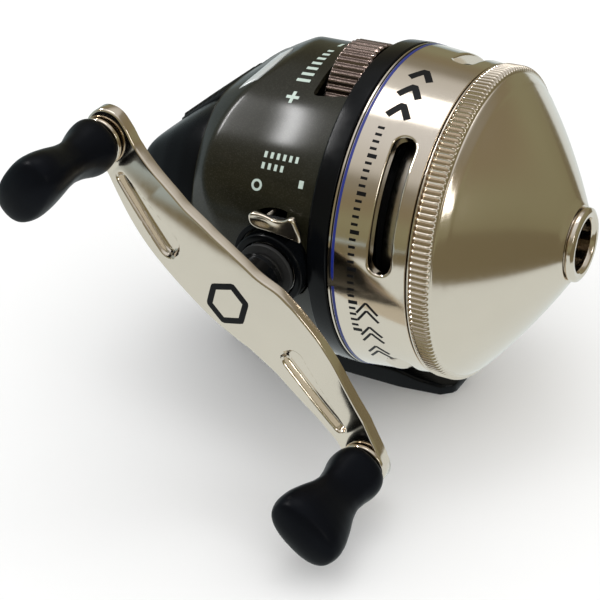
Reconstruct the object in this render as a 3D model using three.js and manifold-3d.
// Spincast fishing reel, heavy-duty size, right-hand retrieve.
// Units are millimetres. +X points forward (the way the line leaves), +Y to the
// angler's left, +Z up. The part origin is the middle of the flat underside of
// the foot. Everything else is drawn about the main shaft axis, in a group whose
// own origin is on that axis, about level with the rear edge of the grip ring.
import * as THREE from "three";
import { mergeVertices } from "three/addons/utils/BufferGeometryUtils.js";
import Module from "manifold-3d";

const wasm = await Module();
wasm.setup();

// ------------------------------------------------------------ shared dimensions
const AXIS_X = 37.0; // main axis origin, forward of the foot's middle
const AXIS_H = 49.0; // main axis above the foot's underside

const BAND_REAR = -24.5; // black frame band
const BAND_FRONT = -19.3;
const DECK_REAR = -21.5; // cross wall that carries the gear train
const DECK_FRONT = -18.6;

const SHAFT_R = 1.65; // center shaft
const SHAFT_HOLE_R = SHAFT_R + 0.35;

const CRANK_X = -33.5; // crank axis, parallel to Y, crosses the main axis
const CRANK_Z = 0;
const BOSS_R = 9.15; // crank boss on the right side
const BOSS_HOLE_R = BOSS_R + 0.35;
const BOSS_Y = -43.0; // outer end of the boss

const PAWL = { x: -24.3, z: -10.5 }; // pawl pivot, parallel to Y
const PAWL_HOLE_R = 1.3;

const WHEEL_Z = 26.3; // drag wheel axis, parallel to X
const YOKE_PEGS = [{ y: -12.5, z: 14.5 }, { y: 12.5, z: 14.5 }];
const BRACKET_POSTS = [{ y: -18, z: -18 }, { y: 18, z: -18 }];

const COVER_SCREWS = [-58, -122, 178]; // degrees from the crank side, going up
const SCREW_X = -28.6;

// ------------------------------------------------------------ solids
const rad = THREE.MathUtils.degToRad;

// A closed geometry as a manifold solid, turned right side out.
function solid(geometry) {
  geometry.deleteAttribute("normal");
  geometry.deleteAttribute("uv");
  const merged = mergeVertices(geometry, 1e-4);
  const { position } = merged.attributes;
  const triangles = new Uint32Array(merged.index.array);
  const corner = (i) => new THREE.Vector3().fromBufferAttribute(position, triangles[i]);
  let volume = 0;
  for (let i = 0; i < triangles.length; i += 3)
    volume += corner(i).dot(corner(i + 1).cross(corner(i + 2)));
  if (volume < 0)
    for (let i = 0; i < triangles.length; i += 3)
      [triangles[i], triangles[i + 1]] = [triangles[i + 1], triangles[i]];
  return new wasm.Manifold(
    new wasm.Mesh({ numProp: 3, vertProperties: position.array, triVerts: triangles }),
  );
}
const join = (first, ...rest) => rest.reduce((a, b) => a.add(b), first);
const cut = (first, ...rest) => rest.reduce((a, b) => a.subtract(b), first);

// Turned geometry about the X axis from [x, radius] pairs. A profile that doesn't
// start and end on the axis closes on itself.
function lathe(profile, facets) {
  const points = profile.map(([x, radius]) => new THREE.Vector2(radius, x));
  const onAxis = (point) => point.x < 1e-6;
  if (!(onAxis(points[0]) && onAxis(points[points.length - 1]))) points.push(points[0].clone());
  return new THREE.LatheGeometry(points, facets).rotateZ(-Math.PI / 2);
}
const turnedX = (profile, facets = 36) => solid(lathe(profile, facets));
// The same about an axis parallel to Y, from [y, radius] pairs.
const turnedY = (profile, { x = CRANK_X, z = CRANK_Z, facets = 24 } = {}) =>
  solid(lathe(profile, facets).rotateZ(Math.PI / 2).translate(x, 0, z));

const tube = (start, end, inner, outer) =>
  [[start, inner], [start, outer], [end, outer], [end, inner]];
const ringX = (x0, x1, inner, outer, facets) => turnedX(tube(x0, x1, inner, outer), facets);
const ringY = (y0, y1, inner, outer, options) => turnedY(tube(y0, y1, inner, outer), options);

function rodX(x0, x1, radius, { y = 0, z = 0, facets = 12 } = {}) {
  const rod = new THREE.CylinderGeometry(radius, radius, x1 - x0, facets);
  return solid(rod.rotateZ(-Math.PI / 2).translate((x0 + x1) / 2, y, z));
}
function rodY(y0, y1, radius, { x = CRANK_X, z = CRANK_Z, facets = 12 } = {}) {
  const rod = new THREE.CylinderGeometry(radius, radius, y1 - y0, facets);
  return solid(rod.translate(x, (y0 + y1) / 2, z));
}
// [y, z] at a distance from the main axis; degrees run from the crank side, going up.
const around = (degrees, distance) =>
  [-distance * Math.cos(rad(degrees)), distance * Math.sin(rad(degrees))];
// A rod pointing straight out from the main axis, between two distances from it.
function rodOut(degrees, x, inner, outer, radius, facets = 14) {
  const rod = new THREE.CylinderGeometry(radius, radius, outer - inner, facets);
  const turn = new THREE.Quaternion().setFromUnitVectors(
    new THREE.Vector3(0, 1, 0),
    new THREE.Vector3(0, ...around(degrees, 1)),
  );
  return solid(rod.translate(0, (inner + outer) / 2, 0).applyQuaternion(turn).translate(x, 0, 0));
}
function block(x0, x1, y0, y1, z0, z1) {
  const box = new THREE.BoxGeometry(x1 - x0, y1 - y0, z1 - z0);
  return solid(box.translate((x0 + x1) / 2, (y0 + y1) / 2, (z0 + z1) / 2));
}

const vectors = (points) => points.map(([a, b]) => new THREE.Vector2(a, b));
function extrude(outline, depth, holes = []) {
  const shape = new THREE.Shape(vectors(outline));
  shape.holes = holes.map((hole) => new THREE.Path(vectors(hole)));
  return new THREE.ExtrudeGeometry(shape, { depth, bevelEnabled: false });
}
// Flat outlines given a thickness along the axis that isn't in the name.
const plateXZ = (outline, y0, y1, holes) =>
  solid(extrude(outline, y1 - y0, holes).rotateX(Math.PI / 2).translate(0, y1, 0));
const plateYZ = (outline, x0, x1) =>
  solid(extrude(outline, x1 - x0).rotateX(Math.PI / 2).rotateZ(Math.PI / 2).translate(x0, 0, 0));
const plateXY = (outline, z0, z1) => solid(extrude(outline, z1 - z0).translate(0, 0, z0));

// Points on an arc, in degrees; the end angle itself is left out.
const arc = (centerA, centerB, radius, count, start = 0, end = 360) =>
  Array.from({ length: count }, (_, i) => {
    const angle = rad(start + ((end - start) * i) / count);
    return [centerA + radius * Math.cos(angle), centerB + radius * Math.sin(angle)];
  });

// A closed skin over columns of points; columnAt gives the column at an angle in degrees.
function skin(facets, rowCount, columnAt) {
  const rows = Array.from({ length: rowCount }, (_, row) => new THREE.Vector2(1, row));
  const geometry = new THREE.LatheGeometry(rows, facets);
  const { position } = geometry.attributes;
  for (let i = 0; i <= facets; i++)
    columnAt((360 * i) / facets).forEach((point, row) => {
      position.setXYZ(i * rowCount + row, ...point);
    });
  return geometry;
}

// A coil spring about the X axis, of five-sided wire.
class Helix extends THREE.Curve {
  constructor(radius, x0, x1, turns) {
    super();
    Object.assign(this, { radius, x0, x1, turns });
  }
  getPoint(t, out = new THREE.Vector3()) {
    const angle = 2 * Math.PI * this.turns * t;
    return out.set(
      this.x0 + (this.x1 - this.x0) * t,
      this.radius * Math.cos(angle),
      this.radius * Math.sin(angle),
    );
  }
}
function coil({ radius, wireR, x0, x1, turns, stepsPerTurn }) {
  return new THREE.ExtrudeGeometry(new THREE.Shape(vectors(arc(0, 0, wireR, 5))), {
    steps: Math.round(turns * stepsPerTurn),
    extrudePath: new Helix(radius, x0, x1, turns),
    bevelEnabled: false,
  });
}

// Straight-line lookup in rows of [x, value]; held constant beyond the ends.
function lookup(rows, x) {
  if (x <= rows[0][0]) return rows[0][1];
  for (let i = 1; i < rows.length; i++)
    if (x <= rows[i][0]) {
      const [x0, value0] = rows[i - 1];
      const [x1, value1] = rows[i];
      return value0 + ((value1 - value0) * (x - x0)) / (x1 - x0);
    }
  return rows[rows.length - 1][1];
}

// ------------------------------------------------------------ materials
const paint = (settings) => new THREE.MeshStandardMaterial(settings);
const champagne = () => paint({ color: 0xbfae8c, roughness: 0.12, metalness: 1.0 });
const olive = () => paint({ color: 0x3a3828, roughness: 0.38, metalness: 0.7 });
const black = () => paint({ color: 0x0c0d0f, roughness: 0.3, metalness: 0.1 });
const rubber = () => paint({ color: 0x14161b, roughness: 0.45, metalness: 0.0 });
const steel = () => paint({ color: 0x9a9a98, roughness: 0.3, metalness: 1.0 });
const brass = () => paint({ color: 0xb08d4a, roughness: 0.3, metalness: 1.0 });
const zinc = () => paint({ color: 0x7d7f80, roughness: 0.5, metalness: 0.9 });
const nylon = () => paint({ color: 0x1b1c1e, roughness: 0.45, metalness: 0.0 });
const bronze = () => paint({ color: 0x6b5648, roughness: 0.35, metalness: 0.8 });

// ------------------------------------------------------------ frame and foot
const FRAME_R = 40.6;
const POST_R = 9.2; // hollow post the spool turns on
const POST_BORE_R = 6.3;
const POST_END = 1.5;
const DECK_BITE = DECK_REAR + 0.5; // parts behind the deck run this far into it
const FRAME_PROFILE = [ // [x, radius]
  [DECK_REAR, POST_BORE_R], [POST_END, POST_BORE_R], [POST_END, POST_R], [DECK_FRONT, POST_R],
  [DECK_FRONT, 36.2], [-15.6, 36.2], [-15.6, 38.2], [BAND_FRONT, 38.2],
  [BAND_FRONT, FRAME_R - 0.2], [BAND_FRONT - 0.4, FRAME_R], [BAND_REAR + 0.5, FRAME_R - 0.15],
  [BAND_REAR, FRAME_R - 0.6], [BAND_REAR, 36.0], [-31.6, 36.0], [-31.6, 34.2], [DECK_REAR, 34.2],
];

// The foot's tables are measured from the part origin.
const FOOT_H = 5.2;
const FOOT_EDGE = [ // [x, half width]
  [-34, 4.2], [-31, 6.4], [-20, 8.2], [20, 8.4], [31, 7.0], [34, 4.6],
];
const FOOT_SIDE = [ // [x, z]
  [-35, -1], [35, -1], [35, 2.4], [24, 3.8], [20, FOOT_H], [-15, FOOT_H], [-20, 3.6], [-35, 2.2],
];
const STEM_SIDE = [ // [x, z]
  [-50, -AXIS_H + 3], [-15, -AXIS_H + 3], [-19.5, -42.4], [-19.5, -38.4], [-24.4, -37.4],
  [-24.5, -36.6], [-46, -36.6],
];

// Clamp plate for a rod seat.
function foot() {
  const outline = [
    ...FOOT_EDGE.map(([x, width]) => [x, -width]),
    ...FOOT_EDGE.slice().reverse(),
  ];
  return plateXY(outline, 0, FOOT_H)
    .intersect(plateXZ(FOOT_SIDE, -10, 10))
    .translate(-AXIS_X, 0, -AXIS_H);
}
// Joins the foot to the band, and leaves room for the rear cover behind the band.
const stem = () =>
  cut(plateXZ(STEM_SIDE, -6.2, 6.2), ringX(-62, BAND_REAR - 0.01, 0, 39.75));

function bodyFrame() {
  const lugY = [-23.2, -19.4];
  const body = join(
    turnedX(FRAME_PROFILE),
    rodY(BOSS_Y, -19.5, BOSS_R, { facets: 36 }),
    block(-32, DECK_BITE, -34.6, -22, -4.5, 4.5), // web from the boss to the deck
    ...BRACKET_POSTS.map((post) => rodX(-46.2, DECK_BITE, 3.4, { ...post, facets: 18 })),
    block(-27.4, DECK_BITE, ...lugY, -13.6, -7.6), // pawl lug
    block(-24.6, DECK_BITE, ...lugY, -13.6, -4), // its tie to the deck
    foot(),
    stem(),
  );
  return cut(
    body,
    rodY(BOSS_Y - 1, -18, 6.4, { facets: 32 }), // crank bore
    ringY(BOSS_Y - 1, BOSS_Y + 4.7, 0, 7.4, { facets: 32 }), // bearing pocket
    block(-33, BAND_REAR - 0.01, -17.7, 17.7, 25, 40), // room for the drag wheel
    ...[{ y: 0, z: WHEEL_Z }, ...YOKE_PEGS].map((place) => // drag axle and yoke pegs
      rodX(DECK_REAR - 1, DECK_FRONT + 1, 2.1, place),
    ),
    ...BRACKET_POSTS.map((post) => rodX(-47, -38, 1.6, { ...post, facets: 14 })),
    ...COVER_SCREWS.map((degrees) => rodOut(degrees, SCREW_X, 30, 37, 1.7)),
    rodY(-24, -19, PAWL_HOLE_R, { ...PAWL, facets: 14 }),
  );
}

// ------------------------------------------------------------ shroud and front cover
const SHROUD_IN_R = 36.9;
const SHROUD_PROFILE = [ // [x, radius]
  [-19.0, 38.55], [-15.2, 38.55], [-14.2, SHROUD_IN_R], [-0.1, SHROUD_IN_R],
  [-0.1, 38.4], [-5, 39.0], [-10, 39.6], [-18.2, 40.55], [-19.0, 40.3],
];
const WINDOW_COUNT = 4; // line windows in the shroud
const WINDOW_X0 = -9.1;
const WINDOW_X1 = -3.8;
const WINDOW_START = 5; // degrees from the crank side, going up
const WINDOW_SPAN = 48;

// A slot round the main axis with round ends, from a start angle.
function windowSlot(start) {
  const halfWidth = (WINDOW_X1 - WINDOW_X0) / 2;
  const middle = (WINDOW_X0 + WINDOW_X1) / 2;
  const inset = THREE.MathUtils.radToDeg(halfWidth / 39); // of the end centres
  const from = start + inset;
  const to = start + WINDOW_SPAN - inset;
  const steps = 8;
  const wedge = [[0, 0]];
  for (let i = 0; i <= steps; i++) wedge.push(around(from + ((to - from) * i) / steps, 46));
  return join(
    plateYZ(wedge, WINDOW_X0, WINDOW_X1),
    rodOut(from, middle, 30, 45, halfWidth, 20),
    rodOut(to, middle, 30, 45, halfWidth, 20),
  ).intersect(ringX(-12, -1, 30, 44));
}
function spoolShroud() {
  let shroud = turnedX(SHROUD_PROFILE);
  for (let i = 0; i < WINDOW_COUNT; i++)
    shroud = cut(shroud, windowSlot(WINDOW_START + (360 / WINDOW_COUNT) * i));
  return shroud;
}

// Front cover: grip ring and cone.
const NOSE_BORE_R = 8.1;
const EYE_R = 6.3; // line hole in the nose ring
const FRONT_COVER_PROFILE = [ // [x, radius]
  [26.3, NOSE_BORE_R], [26.3, 9.3], [20, 19.0], [16, 25.1], [12, 30.5], [8, 35.2],
  [5.9, 37.2], [5.4, 38.4], [0.7, 38.6], [0.2, 38.1], [0.2, 36.5], [-2.4, 36.5],
  [-2.4, 35.0], [4.8, 35.0], [8, 32.6], [14, 25.2], [24.4, 9.0], [24.4, NOSE_BORE_R],
];
const NOSE_RING_PROFILE = [ // [x, radius]
  [23.6, 6.6], [23.6, 7.75], [26.65, 7.75], [26.65, 8.6], [27.1, 9.0], [27.9, 8.9],
  [28.5, 8.0], [28.2, 6.6], [27.4, EYE_R], [24.2, EYE_R],
];

// ------------------------------------------------------------ rear cover
// A short barrel whose back slopes down to the thumb button opening.
const RIM_X = -60.5; // rear edge
const COVER_FRONT = -24.8;
const REAR_IN_R = 36.4;
const SHOULDER_BLEND = 0.100992; // share of the radius lost just behind the crease
// [degrees from the crank side, x of the crease between barrel and slope]
const CREASE = [
  [-180, -56], [-125, -55.5], [-90, -55.5], [-45, -55], [-25, -48.5], [-10, -46.5], [0, -47.5],
  [5, -49.5], [15, -54], [25, -56.3], [35, -56.2], [45, -55.3], [58, -53], [75, -48],
  [90, -46.5], [105, -48], [122, -53], [135, -55.3], [150, -56.2], [180, -56],
];
// [degrees from the crank side, radius of the rear opening]
const RIM = [
  [-180, 33.8], [50, 33.8], [60, 33.2], [70, 31.3], [80, 30.1], [90, 29.5], [100, 30.1],
  [110, 31.3], [120, 33.2], [130, 33.8], [180, 33.8],
];
const BARREL = [ // [x, outer radius]
  [-62, 37.3], [-46, 37.3], [-36, 37.6], [-28, 38.3], [-25.6, 38.9], [-24.8, 39.2],
];

// The cover's section at one angle, as [x, radius].
function coverSection(degrees) {
  const crease = lookup(CREASE, degrees);
  const creaseR = lookup(BARREL, crease);
  const rimR = lookup(RIM, degrees);
  return [
    [COVER_FRONT, 39.1],
    [-28, lookup(BARREL, -28)],
    [crease + 1.0, lookup(BARREL, crease + 1.0)],
    [crease - 1.2, creaseR + (rimR - creaseR) * SHOULDER_BLEND],
    [RIM_X, rimR + 0.15],
    [RIM_X + 2.3, rimR - 0.1],
    [crease + 1.4, 36.1],
    [COVER_FRONT, REAR_IN_R],
    [COVER_FRONT, 39.1],
  ];
}
function rearCover() {
  const shell = skin(36, 9, (turn) => {
    // start at the top, go towards the crank side, stay within -180 to 180
    const degrees = ((90 - turn + 540) % 360) - 180;
    return coverSection(degrees).map(([x, radius]) => [x, ...around(degrees, radius)]);
  });
  const pegSlot = [
    ...arc(CRANK_X, CRANK_Z, 12.7, 7, 80, 120),
    ...arc(CRANK_X, CRANK_Z, 10.1, 7, 120, 80),
  ];
  return cut(
    solid(shell),
    block(-34.7, -24, -17.2, 17.2, 26, 42), // drag wheel window
    rodY(-45, -25, BOSS_HOLE_R, { facets: 36 }),
    plateXZ(pegSlot, -44, -25), // for the peg of the bait alert lever
    ...COVER_SCREWS.map((degrees) => rodOut(degrees, SCREW_X, 30, 41, 1.8)),
  );
}
const coverScrew = (degrees) =>
  join(
    rodOut(degrees, SCREW_X, 33.4, 39.3, 1.4, 10),
    rodOut(degrees, SCREW_X, 39.15, 40.4, 2.8),
  );

// ------------------------------------------------------------ thumb button
const BUTTON_PROFILE = [ // [x, radius]
  [-54.5, 0], [-54.5, 33.0], [-61, 33.1], [-66, 32.2], [-72, 30.2], [-78, 27.2],
  [-84, 23.2], [-89, 18.6], [-92.2, 13], [-93.4, 0],
];
const BUTTON_SIDE = [ // [x, z]
  [-50, -31.5], [-50, 28.2], [-60.9, 28.2], [-61.6, 28.4], [-80.6, 14.2], [-83.2, 9.4],
  [-93.6, 1.4], [-95, -2], [-95, -14], [-90, -17], [-74, -25], [-62, -30.5],
];
const HOLLOW_PROFILE = [ // [x, radius]
  [-50, 0], [-50, 30.8], [-61, 30.9], [-66, 30.0], [-72, 27.8], [-78, 24.6], [-84, 20.0],
  [-88, 14], [-90, 0],
];
const HOLLOW_SIDE = [ // [x, z]
  [-49, -29], [-49, 25.8], [-62.2, 25.8], [-80, 11.6], [-82.6, 6.8], [-91, 0], [-91, -12],
  [-74, -22.4], [-62, -28],
];
const BUTTON_TOP = [ // [y, z], the flattened top with soft corners
  [21.3, 25.0], [17.6, 27.0], [12.9, 27.7], [0, 28.0], [-12.9, 27.7], [-17.6, 27.0],
  [-21.3, 25.0],
];

function thumbButton() {
  const form = turnedX(BUTTON_PROFILE, 30)
    .intersect(plateXZ(BUTTON_SIDE, -40, 40))
    .intersect(plateYZ([...arc(0, 0, 40, 12, 140, 400), ...BUTTON_TOP], -100, -50));
  const hollow = turnedX(HOLLOW_PROFILE, 24).intersect(plateXZ(HOLLOW_SIDE, -30.6, 30.6));
  const shaftBoss = join(
    rodX(-89, -58.5, 4.6, { z: -2, facets: 24 }),
    rodX(-66, -58.5, 5, { facets: 24 }),
  );
  return cut(
    join(cut(form, hollow), shaftBoss.intersect(form)),
    rodX(-62.5, -57, SHAFT_HOLE_R, { facets: 20 }),
  );
}
const buttonSpring = () =>
  solid(coil({ radius: 3.5, wireR: 0.42, x0: -57.6, x1: -49.4, turns: 3.6, stepsPerTurn: 8 }));

// ------------------------------------------------------------ crank side
const CRANK_BORE_R = 4.3; // bearing, bushing and seal on the crankshaft
const CRANKSHAFT_PROFILE = [ // [y, radius]
  [-57.4, 0], [-57.4, 3.0], [-46.2, 3.0], [-46.2, 5.2], [-44.6, 5.2], [-44.6, 4.0],
  [-13.0, 4.0], [-13.0, 2.85], [-5.2, 2.85], [-5.2, 0],
];
const BEARING_PROFILE = [ // [y, radius]
  [-42.4, CRANK_BORE_R], [-42.4, 5.2], [-42.0, 5.4], [-42.0, 6.0], [-42.4, 6.2],
  [-42.4, 7.1], [-38.6, 7.1], [-38.6, CRANK_BORE_R],
];

const MODULE = 0.75;
const GEAR_TEETH = 26;
const PINION_TEETH = 10;
const PINION_R = (MODULE * PINION_TEETH) / 2;
const TOOTH_ROOT_Y = -PINION_R - 0.95;
const TOOTH_TIP_Y = -PINION_R + 0.6;
const GEAR_PROFILE = [ // [y, radius]
  [-12.6, 3.15], [-12.6, 6.2], [-8.9, 6.2], [-8.9, 11.1], [TOOTH_ROOT_Y, 11.1],
  [TOOTH_ROOT_Y, 8.3], [-7.0, 8.3], [-7.0, 5.6], [-6.2, 5.6], [-6.2, 3.15],
];
const GEAR_TOOTH = [ // [tangent, y]
  [-0.78, TOOTH_ROOT_Y - 0.3], [0.78, TOOTH_ROOT_Y - 0.3], [0.7, TOOTH_ROOT_Y],
  [0.26, TOOTH_TIP_Y], [-0.26, TOOTH_TIP_Y], [-0.7, TOOTH_ROOT_Y],
];

// Face gear, teeth towards the main axis.
function driveGear() {
  let gear = turnedY(GEAR_PROFILE, { facets: 39 });
  for (let i = 0; i < GEAR_TEETH; i++) {
    // the quarter turn lays the tooth's length along the radius
    const tooth = extrude(GEAR_TOOTH, 2.6).rotateY(Math.PI / 2).translate(8.4, 0, 0);
    tooth.rotateY((2 * Math.PI * i) / GEAR_TEETH).translate(CRANK_X, 0, CRANK_Z);
    gear = gear.add(solid(tooth));
  }
  return gear;
}

const RATCHET_TEETH = 12;
const RATCHET_Y = -18.4; // outer face of ratchet and pawl
const SAW_TOOTH = [[0, 9.1], [4, 7.2], [17, 8.0]]; // [degrees, radius]
function ratchet() {
  const outline = [];
  for (let i = 0; i < RATCHET_TEETH; i++)
    for (const [offset, radius] of SAW_TOOTH) {
      const angle = rad((360 / RATCHET_TEETH) * i + offset);
      outline.push([CRANK_X + radius * Math.cos(angle), CRANK_Z + radius * Math.sin(angle)]);
    }
  return plateXZ(outline, RATCHET_Y, -16.4, [arc(CRANK_X, CRANK_Z, 4.35, 20)]);
}

const PAWL_INNER_Y = -16.6;
const PAWL_ARM = [ // [x, z]
  [-24.3, -12.6], [-24.3, -8.4], [-31.6, -9.8], [-33.1, -10.1], [-32.6, -11.5], [-29, -12.2],
];
const pawl = () =>
  cut(
    join(
      plateXZ(PAWL_ARM, RATCHET_Y, PAWL_INNER_Y),
      rodY(RATCHET_Y, PAWL_INNER_Y, 2.2, { ...PAWL, facets: 18 }),
    ),
    rodY(-19, -16, PAWL_HOLE_R, { ...PAWL, facets: 14 }),
  );
const pawlPin = () =>
  join(
    rodY(-22.8, -15.2, 1.0, { ...PAWL, facets: 14 }),
    rodY(-15.2, -14.4, 1.9, { ...PAWL, facets: 16 }),
  );
function pawlSpring() {
  const spring = coil({
    radius: 1.75, wireR: 0.2, x0: -16.25, x1: -15.5, turns: 2.0, stepsPerTurn: 7,
  });
  return solid(spring.rotateZ(Math.PI / 2).translate(PAWL.x, 0, PAWL.z));
}

// ------------------------------------------------------------ handle
// A double arm, bowed so that its ends sit back. It is drawn in its own group about
// the crank axis: local X runs along the upper arm, local Z across it.
const HANDLE_Y = -59.6; // outer face at its middle
const HANDLE_T = 3.8;
const HANDLE_ANGLE = 132.5; // degrees, direction of the upper arm in X-Z
const HANDLE_BOW = 3.6; // how far the ends sit back towards the body
const SEAT_START = 40.2; // the knob seats beyond this distance are flat
const SEAT_Y = HANDLE_Y + HANDLE_BOW; // outer face at the knob seats
const HUB = { x: 0, z: 0, facets: 24 };
const UPPER_PIVOT = { x: 46.7, z: -3.4 };
const LOWER_PIVOT = { x: -48.5, z: -1.6 };
// The two edges as [along, across]; across is positive on the front-top side.
const EDGE_FRONT = [
  [-54.4, -1.6], [-52.8, 1.4], [-49.4, 3.2], [-43.7, 5.0], [-36.9, 7.2], [-31.6, 9.0],
  [-25.3, 11.1], [-21, 12.1], [-17.3, 12.7], [-11.2, 13.0], [-8, 12.9], [-4.3, 12.4],
  [-0.5, 11.0], [1.8, 10.3], [4.9, 9.7], [8, 9.0], [10.9, 8.3], [13.9, 7.5], [17, 6.8],
  [20, 6.0], [23, 5.2], [26.8, 4.6], [30, 4.0], [33.4, 3.4], [36.9, 3.0], [40.8, 2.9],
  [44.8, 3.9], [48.8, 4.2], [51.6, 2.6], [52.8, 0.2],
];
const EDGE_REAR = [
  [-54.4, -1.6], [-53.4, -4.2], [-50.5, -5.6], [-46, -5.2], [-43, -4.6], [-40, -4.1],
  [-33.9, -3.4], [-27.5, -3.3], [-21.5, -3.2], [-18.4, -3.3], [-11.8, -4.4], [-8.1, -5.6],
  [-1.1, -7.6], [5.4, -8.8], [14.7, -10.0], [20.7, -10.5], [24.9, -10.5], [29.2, -10.2],
  [33.8, -9.6], [38.8, -8.8], [42.6, -8.2], [46.4, -7.7], [50.4, -6.2], [52.4, -3.2],
];
// Distances along the handle where its edges are sampled.
const HANDLE_STATIONS = [
  -54.3, -53.2, -50.5, -46, -40.2, -37.6, -33.9, -27.5, -21.5, -17.3, -11.2, -8, -4.3, -0.5,
  4.9, 10.9, 17, 23, 30, 36.9, 40.2, 44.8, 49.2, 51.4, 52.4,
];
// Shallow grooves in the outer face, as start and end [along, across].
const GROOVES = [
  [[18.4, -4.2], [37.6, -4.9]],
  [[-18.2, 3.8], [-38.0, 1.2]],
];
const GROOVE_R = 1.7;

// How far the handle's face lies back from its middle, by distance along it.
const bow = (along) => HANDLE_BOW * (Math.min(Math.abs(along), SEAT_START) / SEAT_START) ** 2;

function groove([[x0, z0], [x1, z1]]) {
  const outline = [
    ...arc(0, 0, GROOVE_R, 8, 90, 270),
    ...arc(Math.hypot(x1 - x0, z1 - z0), 0, GROOVE_R, 8, -90, 90),
  ];
  const slot = extrude(outline, 6).rotateX(Math.PI / 2);
  slot.rotateY(-Math.atan2(z1 - z0, x1 - x0));
  return solid(slot.translate(x0, HANDLE_Y + 1.8 + bow((x0 + x1) / 2), z0));
}
function handleArm() {
  const last = HANDLE_STATIONS.length - 1;
  // a box two units long and wide, whose points are moved onto the stations and edges
  const bar = new THREE.BoxGeometry(2, HANDLE_T, 2, last, 1, 1);
  const { position } = bar.attributes;
  for (let i = 0; i < position.count; i++) {
    const along = HANDLE_STATIONS[Math.round(((position.getX(i) + 1) / 2) * last)];
    const across = lookup(position.getZ(i) > 0 ? EDGE_FRONT : EDGE_REAR, along);
    const y = HANDLE_Y + HANDLE_T / 2 + position.getY(i) + bow(along);
    position.setXYZ(i, along, y, across);
  }
  const hole = (radius, place) => rodY(HANDLE_Y - 1, HANDLE_Y + 12, radius, place);
  return cut(
    solid(bar),
    hole(3.4, { ...HUB, facets: 20 }),
    hole(2.5, { ...UPPER_PIVOT, facets: 16 }),
    hole(2.5, { ...LOWER_PIVOT, facets: 16 }),
    ...GROOVES.map(groove),
  );
}
// Domed cap over the handle's middle hole.
const HANDLE_CAP_PROFILE = [ // [y, radius]
  [HANDLE_Y - 0.35, 0], [HANDLE_Y - 0.2, 2.2], [HANDLE_Y + 0.2, 3.05], [-57.8, 3.05], [-57.8, 0],
];

// ------------------------------------------------------------ knobs
// Waisted paddles on posts.
const KNOB_END_Y = -86.5;
const KNOB_BASE_Y = SEAT_Y - 2.0; // inner end
const KNOB_TABLE_LENGTH = 32; // stretched to the knob's real length
const KNOB_SECTIONS = [ // [distance from the inner end, half width, half thickness]
  [0, 0, 0], [0, 5.6, 5.6], [1.2, 6.6, 6.4], [4, 6.7, 6.2], [8, 5.9, 5.0], [12, 5.6, 4.5],
  [16, 6.4, 4.8], [20, 7.8, 5.4], [24, 8.9, 5.9], [27.5, 9.2, 6.1], [30.5, 8.4, 5.4],
  [32, 6.2, 3.6], [32, 0, 0],
];
const POST_HEAD_Y = SEAT_Y + HANDLE_T; // inner face of the handle at the knob
const KNOB_POST_PROFILE = [ // [y, radius]
  [POST_HEAD_Y + 1.9, 0], [POST_HEAD_Y + 1.6, 2.8], [POST_HEAD_Y + 0.7, 3.9],
  [POST_HEAD_Y + 0.7, 2.15], [KNOB_BASE_Y - 23, 2.15], [KNOB_BASE_Y - 23, 0],
];
const KNOB_WASHER_PROFILE = [ // [y, radius]
  [SEAT_Y - 1.75, 2.5], [SEAT_Y - 1.75, 5.0], [SEAT_Y - 1.1, 6.3], [SEAT_Y - 0.35, 6.3],
  [SEAT_Y - 0.35, 2.5],
];

function knob(pivot, turn) {
  const stretch = (KNOB_BASE_Y - KNOB_END_Y) / KNOB_TABLE_LENGTH;
  const paddle = skin(18, KNOB_SECTIONS.length, (degrees) =>
    KNOB_SECTIONS.map(([distance, width, thickness]) => [
      width * Math.cos(rad(degrees)),
      -distance * stretch,
      thickness * Math.sin(rad(degrees)),
    ]),
  );
  return cut(
    solid(paddle.rotateY(rad(turn)).translate(pivot.x, KNOB_BASE_Y, pivot.z)),
    rodY(KNOB_BASE_Y - 24.3, KNOB_BASE_Y + 1, 2.55, { ...pivot, facets: 18 }),
  );
}

// ------------------------------------------------------------ main axis
const PINION_TOOTH = [ // [degrees from the tooth's middle, radius]
  [-11.5, 2.9], [-7.2, PINION_R], [-2.6, 4.4], [2.6, 4.4], [7.2, PINION_R], [11.5, 2.9],
];
function pinionGear() {
  const outline = [];
  for (let i = 0; i < PINION_TEETH; i++) {
    // a tooth gap faces the crank side (-Y)
    const middle = 180 + (360 / PINION_TEETH) * (i + 0.5);
    for (const [offset, radius] of PINION_TOOTH) {
      const angle = rad(middle + offset);
      outline.push([radius * Math.cos(angle), radius * Math.sin(angle)]);
    }
  }
  return cut(
    join(
      plateYZ(outline, -25.5, -21.9),
      rodX(-31, -25.4, 2.9, { facets: 20 }),
      rodX(-22.0, 0.9, 3.9, { facets: 24 }),
    ),
    rodX(-32, 3, SHAFT_HOLE_R, { facets: 20 }),
  );
}

const BRACKET_OUTLINE = [ // [y, z]
  [-20.8, -20.8], [20.8, -20.8], [21.2, -14.5], [7, 6], [-7, 6], [-21.2, -14.5],
];
const shaftBracket = () =>
  cut(
    plateYZ(BRACKET_OUTLINE, -48.6, -46.6),
    rodX(-50, -45, SHAFT_HOLE_R, { facets: 20 }),
    ...BRACKET_POSTS.map((post) => rodX(-50, -45, 1.7, { ...post, facets: 14 })),
  );
const bracketScrew = (post) =>
  join(
    rodX(-50.6, -48.9, 2.7, { ...post, facets: 18 }),
    rodX(-49, -39, 1.3, { ...post, facets: 14 }),
  );

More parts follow.
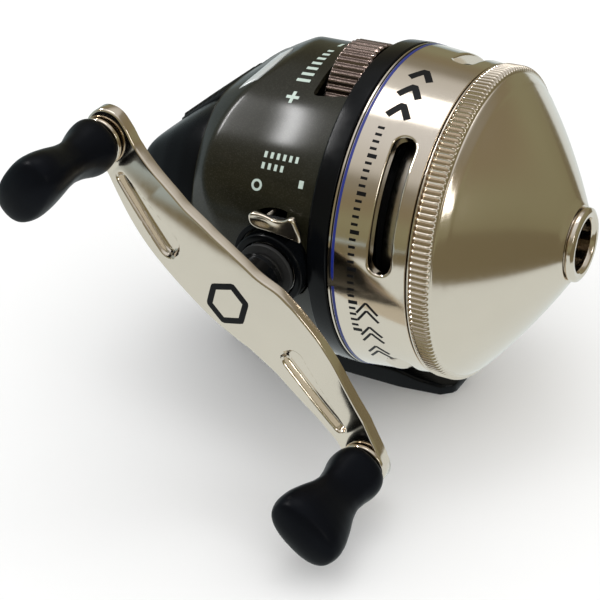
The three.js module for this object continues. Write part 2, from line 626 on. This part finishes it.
// Spinner head: the cup that winds the line on, with its pick-up pin.
const SPINNER_HOLE_R = SHAFT_R + 0.3;
const PICKUP_ANGLE = 120; // degrees from the crank side, going up
const PICKUP_X = -2.6;
const SPINNER_PROFILE = [ // [x, radius]
  [-8.9, 32.0], [-8.9, 33.2], [0.6, 33.0], [3.2, 30.2], [5.2, 27.2], [7.6, 22], [7.6, 5.0],
  [8.2, 5.0], [8.2, SPINNER_HOLE_R], [2.4, SPINNER_HOLE_R], [2.4, 4.8], [6.0, 4.8],
  [6.0, 21.4], [2.4, 28.8], [-0.6, 31.8],
];
const spinnerHead = () =>
  cut(turnedX(SPINNER_PROFILE, 30), rodOut(PICKUP_ANGLE, PICKUP_X, 28, 36, 1.75));
const spinnerNut = () =>
  cut(rodX(8.55, 10.45, 4.2, { facets: 6 }), rodX(8, 11, SPINNER_HOLE_R, { facets: 20 }));
const pickupPin = () =>
  join(
    rodOut(PICKUP_ANGLE, PICKUP_X, 30.6, 34.6, 1.4),
    rodOut(PICKUP_ANGLE, PICKUP_X, 29.9, 30.9, 2.3),
  );

const SPOOL_PROFILE = [ // [x, radius]
  [-16.0, 9.6], [-16.0, 28], [-14.9, 28], [-14.9, 11.2], [-1.1, 11.2], [-1.1, 28],
  [0, 28], [0, 9.6],
];
const LINE_PROFILE = [ // [x, radius]
  [-14.6, 11.5], [-14.6, 24.2], [-12, 24.9], [-4, 24.9], [-1.4, 24.2], [-1.4, 11.5],
];
// A ring with a gap at the top.
const spoolClip = () => cut(ringX(0.35, 1.2, 9.5, 11.4, 28), block(0, 2, -2, 2, 8, 13));

// ------------------------------------------------------------ drag
const WHEEL_R = 14.5;
const WHEEL_RIDGES = 24;
const WHEEL_RIDGE = [ // [share of the ridge pitch, radius]
  [-0.5, WHEEL_R - 0.55], [-0.22, WHEEL_R], [0.22, WHEEL_R],
];
function dragWheel() {
  const rim = [];
  for (let i = 0; i < WHEEL_RIDGES; i++)
    for (const [share, radius] of WHEEL_RIDGE) {
      const angle = rad((360 * (i + share)) / WHEEL_RIDGES);
      rim.push([radius * Math.cos(angle), WHEEL_Z + radius * Math.sin(angle)]);
    }
  return cut(
    plateYZ(rim, -34, -25),
    rodX(-40, -20, 2.85, { z: WHEEL_Z, facets: 20 }),
    ringX(-35, -30.5, 4.6, 11.6, 32).translate(0, 0, WHEEL_Z), // recess in the rear face
  );
}
const dragAxle = () =>
  join(
    rodX(-38, -21.9, 2.5, { z: WHEEL_Z, facets: 20 }),
    rodX(-22, -19.2, 1.75, { z: WHEEL_Z, facets: 16 }),
    rodX(-39.2, -37.9, 4.0, { z: WHEEL_Z, facets: 20 }),
  );
const SPRING_WASHER_PROFILE = [[-37.5, 2.9], [-37.0, 2.9], [-34.5, 4.3], [-35.0, 4.3]];
const YOKE_OUTLINE = [ // [y, z]
  [-15, 11.8], [-3, 15], [3, 15], [15, 11.8], [15, 22], [7, 30.5], [-7, 30.5], [-15, 22],
];
const dragYoke = () =>
  join(
    cut(
      plateYZ(YOKE_OUTLINE, -24.4, -23.3),
      rodX(-26, -22, 2.9, { z: WHEEL_Z, facets: 20 }),
    ),
    ...YOKE_PEGS.map((peg) => rodX(-23.5, -18.1, 1.5, { ...peg, facets: 14 })),
  );

// ------------------------------------------------------------ bait alert lever
const LEVER_TAB = [ // [x, z]
  [-38.3, 12.7], [-37.2, 13.6], [-34.6, 13.4], [-31.4, 13.2], [-29.2, 14.0], [-27.4, 14.5],
  [-26.4, 13.2], [-25.4, 11.0], [-25.1, 8.9], [-27.0, 8.9], [-30.6, 9.95], [-33.5, 10.35],
  [-37.0, 10.1],
];
const LEVER_NECK = [ // [x, z]
  [-35.8, 10.2], [-35.6, 12.4], [-28.6, 12.6], [-27.6, 9.9], [-30.6, 10.1], [-33.5, 10.4],
];
const LEVER_INNER_Y = -38.9;
const RING_OUTER_Y = -40.2;
const PEG_ANGLE = rad(100); // about the crank axis, from +X towards +Z
const PEG_REACH = 11.4;
function baitAlertLever() {
  const sector = [[CRANK_X, CRANK_Z], ...arc(CRANK_X, CRANK_Z, 16, 9, 59, 320)];
  const partRing = ringY(RING_OUTER_Y, LEVER_INNER_Y, BOSS_R + 0.4, 10.9, { facets: 32 })
    .intersect(plateXZ(sector, -41, -38));
  const lever = join(
    partRing,
    plateXZ(LEVER_TAB, -42.6, -41.2),
    plateXZ(LEVER_NECK, -41.3, LEVER_INNER_Y),
    block(-36.4, -34.4, RING_OUTER_Y, LEVER_INNER_Y, 10, 12.3), // root of the peg
    rodY(-39.2, -31.0, 0.85, {
      x: CRANK_X + PEG_REACH * Math.cos(PEG_ANGLE),
      z: PEG_REACH * Math.sin(PEG_ANGLE),
      facets: 10,
    }),
  );
  return cut(lever, rodY(-46, -36, BOSS_HOLE_R, { facets: 36 }));
}
// Flat leaf just above the lever's peg.
const clickSpring = () => block(-40.5, -33.0, -33.4, -30.6, 12.7, 13.1);

// ------------------------------------------------------------ assembly
const reel = new THREE.Group();
const axis = new THREE.Group();
axis.position.set(AXIS_X, 0, AXIS_H);
reel.add(axis);

function add(name, made, material, parent = axis) {
  const { vertProperties, triVerts } = made.getMesh();
  const geometry = new THREE.BufferGeometry();
  geometry.setAttribute(
    "position",
    new THREE.BufferAttribute(new Float32Array(vertProperties), 3),
  );
  geometry.setIndex(new THREE.BufferAttribute(new Uint32Array(triVerts), 1));
  geometry.computeVertexNormals();
  const mesh = new THREE.Mesh(geometry, material);
  mesh.name = name;
  parent.add(mesh);
}

add("body_frame", bodyFrame(), black());
add("spool_shroud", spoolShroud(), champagne());
add("front_cover", turnedX(FRONT_COVER_PROFILE), champagne());
add("nose_ring", turnedX(NOSE_RING_PROFILE, 24), champagne());
add("cover_o_ring", ringX(-3.6, -2.75, 35.3, 36.45, 30), rubber());
add("rear_cover", rearCover(), olive());
COVER_SCREWS.forEach((degrees, i) => {
  add(`rear_cover_screw_${i + 1}`, coverScrew(degrees), steel());
});
add("thumb_button", thumbButton(), black());
add("button_spring", buttonSpring(), steel());

add("crankshaft", turnedY(CRANKSHAFT_PROFILE, { facets: 28 }), steel());
add("crank_bearing", turnedY(BEARING_PROFILE, { facets: 22 }), steel());
add("crank_bushing", ringY(-26, -19.6, CRANK_BORE_R, 6.1), brass());
add("crank_seal", ringY(-44.3, -43.3, CRANK_BORE_R, 7.2), rubber());
add("drive_gear", driveGear(), brass());
add("gear_clip", ringY(-6.0, -5.5, 3.05, 4.6, { facets: 20 }), steel());
add("anti_reverse_ratchet", ratchet(), steel());
add("anti_reverse_pawl", pawl(), steel());
add("pawl_pin", pawlPin(), steel());
add("pawl_spring", pawlSpring(), steel());

const handle = new THREE.Group();
handle.position.set(CRANK_X, 0, CRANK_Z);
handle.rotation.y = -rad(HANDLE_ANGLE);
handle.scale.z = -1; // makes across positive on the front-top side
axis.add(handle);
add("handle", handleArm(), champagne(), handle);
add("handle_hub", ringY(-55.4, -46.6, 3.35, 6.4, HUB), steel(), handle);
add("handle_cap", turnedY(HANDLE_CAP_PROFILE, HUB), champagne(), handle);
for (const [side, pivot, turn] of [
  ["upper", UPPER_PIVOT, -83],
  ["lower", LOWER_PIVOT, 7],
]) {
  const post = turnedY(KNOB_POST_PROFILE, { ...pivot, facets: 20 });
  const washer = turnedY(KNOB_WASHER_PROFILE, { ...pivot, facets: 16 });
  add(`knob_post_${side}`, post, steel(), handle);
  add(`knob_washer_${side}`, washer, champagne(), handle);
  add(`knob_${side}`, knob(pivot, turn), rubber(), handle);
}

add("pinion_gear", pinionGear(), brass());
add("pinion_bushing", ringX(-20.8, 0.6, 4.2, 6.0, 28), brass());
add("center_shaft", ringX(-61.8, 10.4, 0, SHAFT_R, 20), steel());
add("shaft_bracket", shaftBracket(), zinc());
BRACKET_POSTS.forEach((post, i) => {
  add(`bracket_screw_${i + 1}`, bracketScrew(post), steel());
});
add("spinner_head", spinnerHead(), steel());
add("spinner_nut", spinnerNut(), brass());
add("pickup_pin", pickupPin(), steel());
add("spool", turnedX(SPOOL_PROFILE, 30), black());
add("line_pack", turnedX(LINE_PROFILE, 24), nylon());
add("spool_clip", spoolClip(), steel());

add("drag_wheel", dragWheel(), bronze());
add("drag_axle", dragAxle(), steel());
add(
  "drag_spring_washer",
  turnedX(SPRING_WASHER_PROFILE, 24).translate(0, 0, WHEEL_Z),
  steel(),
);
add("drag_yoke", dragYoke(), zinc());
add("drag_ring", ringX(-17.95, -17.1, 15.6, 22.6, 24), steel());

add("bait_alert_lever", baitAlertLever(), champagne());
add("click_spring", clickSpring(), steel());

export default reel;
